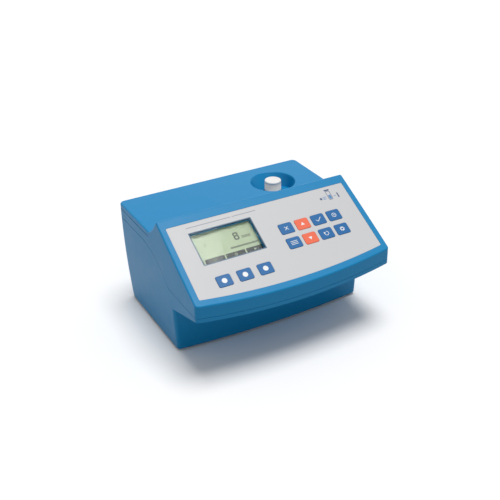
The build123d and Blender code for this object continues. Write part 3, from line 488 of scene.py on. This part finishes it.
# A profile with round corners: each is the curve corner + radius (start (1-t)^2 + end t^2), where
# start and end point to the corners before and after it
def rounded(corners, radii, steps=5):
    corners = np.asarray(corners, float)
    line = [corners[0]]
    for before, here, after, radius in zip(corners[:-2], corners[1:-1], corners[2:], radii):
        start = (before - here) / np.linalg.norm(before - here)
        end = (after - here) / np.linalg.norm(after - here)
        share = np.linspace(0, 1, steps)[:, None]
        line += list(here + radius * (start * (1 - share) ** 2 + end * share ** 2))
    line.append(corners[-1])
    return np.array(line)


# Camera, worked out from the instrument's edges: place in mm, angles in radians
cameraValues = {"place": (-407.478, -740.662, 556.823), "yaw": 0.49882, "pitch": 0.51951,
                "roll": -0.01661, "focalPixels": 865.54, "frameWidth": 500.0, "sensor": 36.0,
                "clipStart": 0.01, "clipEnd": 50}


def makeCamera(values):
    data = bpy.data.cameras.new("photoCamera")
    data.sensor_width = values["sensor"]
    data.lens = values["focalPixels"] / values["frameWidth"] * values["sensor"]
    data.clip_start = values["clipStart"]
    data.clip_end = values["clipEnd"]
    camera = bpy.data.objects.new("photoCamera", data)
    bpy.context.scene.collection.objects.link(camera)
    turn = (Matrix.Rotation(-values["yaw"], 4, "Z")
            @ Matrix.Rotation(pi / 2 - values["pitch"], 4, "X")
            @ Matrix.Rotation(values["roll"], 4, "Z"))
    camera.matrix_world = Matrix.Translation([v * mm for v in values["place"]]) @ turn
    bpy.context.scene.camera = camera


makeCamera(cameraValues)
print("camera placed")


# Sample vial with a screw thread and a white fill line, in mm
vialValues = {"bodyRadius": 8.0, "wall": 1.1, "neckRadius": 7.0, "neckBore": 5.9,
              "neckLength": 12.0, "shoulderDrop": 3.0, "boreDrop": 0.6, "footRound": 2.0,
              "floor": 1.6, "hollow": 0.35, "hollowRadius": 4.5, "standRadius": 5.6, "turns": 96}
threadValues = {"rise": 0.17, "pitch": 3.0, "turns": 2.2, "width": 0.14, "top": 2.0, "rows": 70,
                "rowsLow": 1.2, "rowsHigh": 0.6, "fadeLow": 1.0, "fadeEnd": 1.4, "fadeHigh": 0.8}
fillLineValues = {"height": 52.0, "wide": 0.5, "sink": 0.05, "rise": 0.03, "turns": 96}


def makeVial(values, screw, mark):
    low, high = lowHigh("vial_glass")
    foot = [*((low + high) / 2)[:2], low[2]]
    tall = (high[2] - low[2]) / mm
    shoulder = tall - values["neckLength"]
    body, neck, bore = values["bodyRadius"], values["neckRadius"], values["neckBore"]
    inside = body - values["wall"]
    bend = shoulder - values["shoulderDrop"]
    corners = [(0, values["hollow"]), (values["hollowRadius"], values["hollow"]),
               (values["standRadius"], 0), (body, 0), (body, bend), (neck, shoulder),
               (neck, tall), (bore, tall), (bore, shoulder - values["boreDrop"]),
               (inside, bend - values["boreDrop"]), (inside, values["floor"]),
               (0, values["floor"])]
    profile = rounded(corners, [0.3, 0.3, values["footRound"], 1.2, 1.0, 0.4, 0.4, 1.0, 1.2, 1.6])
    onNeck = (abs(profile[:, 0] - neck) < 1e-6) & (profile[:, 1] > shoulder)
    first, rows = np.flatnonzero(onNeck)[0], screw["rows"]
    heights = np.linspace(shoulder + screw["rowsLow"], tall - screw["rowsHigh"], rows)
    threaded = np.stack([np.full(rows, neck), heights], -1)
    profile = np.concatenate([profile[:first], threaded, profile[first:]])
    threadLow = tall - screw["top"] - screw["turns"] * screw["pitch"]

    # A round ridge that climbs one pitch a turn and fades at both ends: rise exp(-(d/width)^2),
    # with d the share of a pitch to the nearest crest
    def thread(radius, height, row, angle):
        climb = (height - threadLow) / screw["pitch"] - angle / (2 * pi)
        ridge = np.exp(-((climb - np.round(climb)) / screw["width"]) ** 2)
        fade = (np.clip((height - threadLow) / screw["fadeLow"], 0, 1)
                * np.clip((tall - screw["fadeEnd"] - height) / screw["fadeHigh"], 0, 1))
        outside = (row >= first) & (row < first + rows)
        return radius + np.where(outside, screw["rise"] * ridge * fade, 0)

    points, faces = lathe(profile, values["turns"], thread)
    vial = addPiece("vialBody", points * mm + foot, faces, finishes["vial_glass"], "vial",
                    smooth=True)
    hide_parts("vial_glass")

    start, end = body - mark["sink"], body + mark["rise"]
    under, over = mark["height"], mark["height"] + mark["wide"]
    points, faces = hoop([(start, under), (end, under), (end, over), (start, over)], mark["turns"])
    addPiece("vialFillLine", points * mm + foot, faces, extras["legendWhite"], "vial")


# Screw cap, in mm: a plain band at the mouth, a rounded shoulder and a shallow dish on top
capValues = {"radius": 9.75, "bore": 7.5, "roof": 2.0, "mouth": 0.6, "rim": 0.5, "inset": 0.05,
             "bandTop": 2.0, "bandStep": 0.3, "shoulderDrop": 2.2, "edge": 1.3, "dish": 5.8,
             "dishSlope": 0.6, "dishDepth": 0.35, "turns": 240}
ribValues = {"count": 60, "depth": 0.11, "low": 2.5, "high": 2.3, "fadeLow": 0.5, "fadeHigh": 0.7,
             "rows": 8, "rowsFrom": 2.25}


def makeCap(values, ribs):
    low, high = lowHigh("vial_cap")
    foot = [*((low + high) / 2)[:2], low[2]]
    tall = (high[2] - low[2]) / mm
    radius, bore, mouth, rim = (values[key] for key in ("radius", "bore", "mouth", "rim"))
    inner = tall - values["roof"]
    side = radius - values["inset"]
    dish, dishFloor = values["dish"], tall - values["dishDepth"]
    corners = [(0, inner), (bore, inner), (bore, mouth), (bore + mouth, 0), (radius - rim, 0),
               (side, rim), (side, values["bandTop"]),
               (radius, values["bandTop"] + values["bandStep"]),
               (radius, tall - values["shoulderDrop"]), (side, tall),
               (dish + values["dishSlope"], tall), (dish, dishFloor), (0, dishFloor)]
    profile = rounded(corners, [0.4, 0.2, 0.2, 0.2, 0.2, 0.1, 0.1, 0.3, values["edge"], 0.3, 0.3])
    ribLow, ribHigh = ribs["low"], tall - ribs["high"]

    # Upright ribs of depth (1 - cos(count angle)) / 2, faded at both ends. The smooth side lies
    # over them, so only their crests reach it
    def grip(radii, height, row, angle):
        outside = radii > radius - 0.01
        fade = (np.clip((height - ribLow) / ribs["fadeLow"], 0, 1)
                * np.clip((ribHigh - height) / ribs["fadeHigh"], 0, 1))
        rib = 0.5 - 0.5 * np.cos(ribs["count"] * angle)
        return radii - np.where(outside, ribs["depth"] * rib * fade, 0)

    onSide = (abs(profile[:, 0] - radius) < 0.02) & (profile[:, 1] > ribs["rowsFrom"])
    first = np.flatnonzero(onSide)[0] + 1
    ribbed = np.stack([np.full(ribs["rows"], radius), np.linspace(ribLow, ribHigh, ribs["rows"])], -1)
    profile = np.concatenate([profile[:first], ribbed, profile[first:]])
    points, faces = lathe(profile, values["turns"], grip)
    cap = addPiece("capShell", points * mm + foot, faces, finishes["cap_plastic"], "cap",
                   smooth=True)
    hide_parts("vial_cap")


makeVial(vialValues, threadValues, fillLineValues)
makeCap(capValues, ribValues)
print("vial and cap made")


# Liquid crystal display: small dot-matrix marks, a scale and three dark tabs, on the glass. Places
# are x and distance down the panel, in mm, before the shift
lcdValues = {"shift": (2.8, -2.9), "dot": 0.92, "low": -0.02, "high": 0.03, "iconRise": 0.02,
             "marks": (("12:30", (-85.0, 28.8), 0.52), (["bold8"], (-43.6, 37.4), 0.86),
                       (["bar"] * 3, (-35.0, 43.0), 0.5), (["drop"], (-79.0, 41.0), 0.5)),
             "scaleDown": 54.2, "scaleFrom": -52.0, "scaleTo": -19.0, "scalePitch": 1.75,
             "tick": (1.15, 2.1), "longTick": 0.5, "longEvery": 5,
             "tabDown": 62.4, "tabHeight": 6.2, "tabs": ((-74.6, 22.4), (-50.6, 22.6), (-27.6, 20.6)),
             "ring": (1.5, 1.0), "clock": (1.7, 1.3), "hands": ((0, -1.0), (0, 0.1), (0.8, 0.1)),
             "handWide": 0.35, "arrow": ((-1.2, -1.4), (-1.2, 1.4), (1.4, 0))}
digitRows = {
    "0": "01110 10001 10011 10101 11001 10001 01110",
    "1": "00100 01100 00100 00100 00100 00100 01110",
    "2": "01110 10001 00001 00110 01000 10000 11111",
    "3": "01110 10001 00001 00110 00001 10001 01110",
    ":": "00000 00100 00100 00000 00100 00100 00000",
    "bold8": "0111110 1111111 1100011 1100011 0111110 1111111 1100011 1100011 1100011 1111111"
             " 0111110",
    "bar": "111111 100001 101101 101101 100001 111111",
    "drop": "00100 00100 01110 01110 11111 11111 01110",
}


def dots(names, start, pitch, share):  # a small square for every 1, from the upper left corner
    cells, column = [], 0
    for name in names:
        rows = np.array([[int(c) for c in row] for row in digitRows[name].split()])
        line, place = np.nonzero(rows)
        cells.append(np.stack([place + column, line], -1))
        column += rows.shape[1] + 1
    cells = np.concatenate(cells) * pitch + np.asarray(start)
    half = pitch * share / 2
    square = np.array([[-half, half], [half, half], [half, -half], [-half, -half]])
    return cells[:, None] + square


def makeDisplay(values):
    rise = riseOf("display_glass")
    bottom, top = values["low"] + rise, values["high"] + rise
    shift = np.array(values["shift"])

    squares = [dots(names, shift + start, pitch, values["dot"])
               for names, start, pitch in values["marks"]]
    wide, tall = values["tick"]
    ticks = np.arange(values["scaleFrom"], values["scaleTo"], values["scalePitch"])
    squares.append(np.stack([box(shift + (x, values["scaleDown"]),
                                 (wide, tall + values["longTick"] * (i % values["longEvery"] == 0)))
                             for i, x in enumerate(ticks)]))
    points, faces = prisms(np.concatenate(squares), bottom, top)
    addPiece("lcdMarks", points, faces, extras["lcdDark"], "housing")

    middles = [shift + (x, values["tabDown"]) for x, wide in values["tabs"]]
    tabs = np.stack([box(middle, (wide, values["tabHeight"]))
                     for middle, (x, wide) in zip(middles, values["tabs"])])
    points, faces = prisms(tabs, bottom, top)
    addPiece("lcdTabs", points, faces, extras["lcdDark"], "housing")

    raised = top + values["iconRise"]
    first, second, third = middles
    ring, clock = [rings(*[circle(middle, radius) for radius in values[name]], top, raised)
                   for middle, name in ((first, "ring"), (second, "clock"))]
    hands = prisms(stroke(second + np.array(values["hands"]), values["handWide"]), top, raised)
    arrow = prisms(third + np.array(values["arrow"]), top, raised)
    points, faces = joined(ring, clock, hands, arrow)
    addPiece("lcdTabIcons", points, faces, extras["lcdPale"], "housing")


makeDisplay(lcdValues)
print("display drawn")


# Thin printed layers on the film, as low and high faces over it, in mm
filmValues = {"top": -0.2, "print": (-0.02, 0.035), "windowTall": 41.6, "windowLine": 1.1,
              "windowRound": (0.8, 0.4), "ruleDown": 17.6, "ruleWide": 0.45,
              "rules": ((-62.0, 52.0), (-20.0, 28.0))}
# Pictogram of a vial between a lamp and a detector: sizes in mm, places from the vial's middle
pictogramValues = {"place": (86.0, 23.5), "beamDown": 2.2, "vial": (5.4, 12.0), "vialRound": 1.6,
                   "line": 0.6, "insideRound": 1.1, "fill": (3.2, 5.4), "fillRound": 0.8,
                   "cap": (6.6, 1.8), "capUp": 7.2, "capRound": 0.4, "lampX": -12.0,
                   "lampRadius": 1.5, "beamX": -7.2, "beam": (4.6, 0.55), "beamPitch": 1.5,
                   "outX": 6.2, "out": (3.6, 0.55), "detectorX": 10.4, "detector": (1.5, 6.4)}


def makeWindowBorder(values):  # a dark frame round the display window
    nodeLow, nodeHigh = lowHigh("display_window")
    centre = spotOf("display_window")
    size = np.array([(nodeHigh[0] - nodeLow[0]) / mm, values["windowTall"]])
    outerRound, innerRound = values["windowRound"]
    low, high = (values["top"] + v for v in values["print"])
    points, faces = rings(softBox(centre, size, outerRound),
                          softBox(centre, size - 2 * values["windowLine"], innerRound), low, high)
    addPiece("windowBorder", points, faces, extras["windowPrint"], "housing")


def makeFilmGraphics(values, sign):
    low, high = (values["top"] + v for v in values["print"])
    points, faces = prisms([box((x, values["ruleDown"]), (wide, values["ruleWide"]))
                            for x, wide in values["rules"]], low, high)
    addPiece("filmRule", points, faces, extras["filmPrint"], "housing")

    middle = np.array(sign["place"])
    beam = middle + (0, sign["beamDown"])
    inside = np.array(sign["vial"]) - 2 * sign["line"]
    vial = rings(softBox(middle, sign["vial"], sign["vialRound"]),
                 softBox(middle, inside, sign["insideRound"]), low, high)
    cap = prisms(softBox(middle - (0, sign["capUp"]), sign["cap"], sign["capRound"]), low, high)
    lamp = prisms(circle(beam + (sign["lampX"], 0), sign["lampRadius"]), low, high)
    detector = prisms(box(beam + (sign["detectorX"], 0), sign["detector"]), low, high)
    points, faces = joined(vial, cap, lamp, detector)
    addPiece("filmPictogram", points, faces, extras["filmPrint"], "housing")

    fill = prisms(softBox(beam, sign["fill"], sign["fillRound"]), low, high)
    beams = prisms([box(beam + (sign["beamX"], row * sign["beamPitch"]), sign["beam"])
                    for row in (-1, 0, 1)], low, high)
    out = prisms(box(beam + (sign["outX"], 0), sign["out"]), low, high)
    points, faces = joined(fill, beams, out)
    addPiece("filmPictogramBeam", points, faces, extras["filmPrintPale"], "housing")


# Raised white signs on the keys, in mm from a key's middle
signValues = {"keyTop": 0.3, "raise": (-0.02, 0.045), "line": 0.62, "over": 0.004,
              "dot": 2.95, "dotCorners": 48, "arrowHalf": 2.3, "arrowBack": 1.5, "arrowTip": 2.2,
              "crossArm": 6.0, "tick": ((-3.2, 0.2), (-1.0, 2.2), (3.4, -2.2)),
              "helpRing": 2.7, "helpDot": 0.7, "helpCorners": 24, "menuBar": 8.4, "menuPitch": 1.9,
              "returnRing": 2.4, "returnCorners": 30, "returnStart": radians(150),
              "returnSweep": radians(290), "returnHead": ((-3.4, -1.5), (-2.3, 0.6), (-0.5, -1.7)),
              "wheel": (2.0, 1.25), "toothPlace": 2.35, "tooth": (1.1, 0.9), "teeth": 8}


def signOf(name, centre, values, low, high):
    line, over = values["line"], high + values["over"]  # over: the part on top, where two cross
    if name.startswith("soft"):
        return prisms(circle(centre, values["dot"], values["dotCorners"]), low, high)
    if name in ("key_up", "key_down"):
        way = -1 if name == "key_up" else 1
        half, back, tip = values["arrowHalf"], -way * values["arrowBack"], way * values["arrowTip"]
        corners = [centre + (-half, back), centre + (half, back), centre + (0, tip)]
        return prisms(corners[::way], low, high)
    if name == "key_cancel":
        arm = (values["crossArm"], line)
        return joined(prisms(box(centre, arm, pi / 4), low, high),
                      prisms(box(centre, arm, -pi / 4), low, over))
    if name == "key_check":
        return prisms(stroke(centre + np.array(values["tick"]), line), low, high)
    if name == "key_help":
        ring = values["helpRing"]
        dot = prisms(circle(centre, values["helpDot"], values["helpCorners"]), low, high)
        return joined(rings(circle(centre, ring), circle(centre, ring - line), low, high), dot)
    if name == "key_menu":
        return prisms([box(centre + (0, row * values["menuPitch"]), (values["menuBar"], line))
                       for row in (-1, 0, 1)], low, high)
    if name == "key_recall":
        turn = circle(centre, values["returnRing"], values["returnCorners"],
                      values["returnStart"], values["returnSweep"])
        return joined(prisms(stroke(turn, line), low, high),
                      prisms(centre + np.array(values["returnHead"]), low, over))
    wheel = rings(*[circle(centre, radius) for radius in values["wheel"]], low, high)  # key_setup
    angles = np.arange(values["teeth"]) * 2 * pi / values["teeth"]
    teeth = [box(centre + values["toothPlace"] * np.array([cos(a), -sin(a)]), values["tooth"], a)
             for a in angles]
    return joined(wheel, prisms(teeth, low, over))


def makeLegends(values):  # each sign rides on the body of its own key
    low, high = (values["keyTop"] + v for v in values["raise"])
    for name in nodes:
        if name.startswith(("soft_key", "key_")) and name != "key_domes":
            points, faces = signOf(name, spotOf(name), values, low, high)
            addPiece("legend_" + name, points, faces, extras["legendWhite"], name)


makeWindowBorder(filmValues)
makeFilmGraphics(filmValues, pictogramValues)
makeLegends(signValues)
print("graphics printed")


# Studio: a pale floor, a pale world and one broad soft lamp straight overhead
studioValues = {"floorHalf": 6.0, "floorSeen": 0.97, "floorBounce": 0.5, "floorScale": 40.0,
                "floorGloss": (0.85, 0.95), "worldLevel": 0.42,
                "lampFrom": (0.12, 0.02, 1.0), "lampSpread": radians(32), "lampStrength": 2.1}


def raysSeen(tree):  # 1 where the camera looks, straight, by a reflection or through glass
    rays = tree.nodes.new("ShaderNodeLightPath").outputs
    bent = maths(tree, "MAXIMUM", rays["Is Glossy Ray"], rays["Is Transmission Ray"])
    return maths(tree, "MAXIMUM", rays["Is Camera Ray"], bent)


def makeStudio(values):
    half = values["floorHalf"]
    corners = [(-half, -half, 0), (half, -half, 0), (half, half, 0), (-half, half, 0)]
    mesh = bpy.data.meshes.new("studioFloor")
    mesh.from_pydata(corners, [], [(0, 1, 2, 3)])
    floor = bpy.data.objects.new("studioFloor", mesh)
    bpy.context.scene.collection.objects.link(floor)
    material, tree, principled, place = shader("studioFloor")
    bounce, seen = [(values[key],) * 3 + (1,) for key in ("floorBounce", "floorSeen")]
    tree.links.new(mixColour(tree, raysSeen(tree), bounce, seen), principled.inputs["Base Color"])
    gloss = between(tree, noise(tree, place, values["floorScale"]), noiseBand,
                    *values["floorGloss"])
    tree.links.new(gloss, principled.inputs["Roughness"])
    principled.inputs["Specular IOR Level"].default_value = 0.0
    mesh.materials.append(material)

    world = bpy.data.worlds.new("studioWorld")
    bpy.context.scene.world = world
    world.use_nodes = True
    tree = world.node_tree
    background = tree.nodes["Background"]
    background.inputs["Color"].default_value = (1, 1, 1, 1)
    tree.links.new(between(tree, raysSeen(tree), (0.0, 1.0), values["worldLevel"], 1.0),
                   background.inputs["Strength"])

    data = bpy.data.lights.new("overheadLamp", "SUN")
    data.energy = values["lampStrength"]
    data.angle = values["lampSpread"]
    lamp = bpy.data.objects.new("overheadLamp", data)
    bpy.context.scene.collection.objects.link(lamp)
    lamp.rotation_euler = (-Vector(values["lampFrom"])).to_track_quat("-Z", "Y").to_euler()


makeStudio(studioValues)
bpy.context.scene.view_settings.view_transform = "Standard"
print("studio lit")
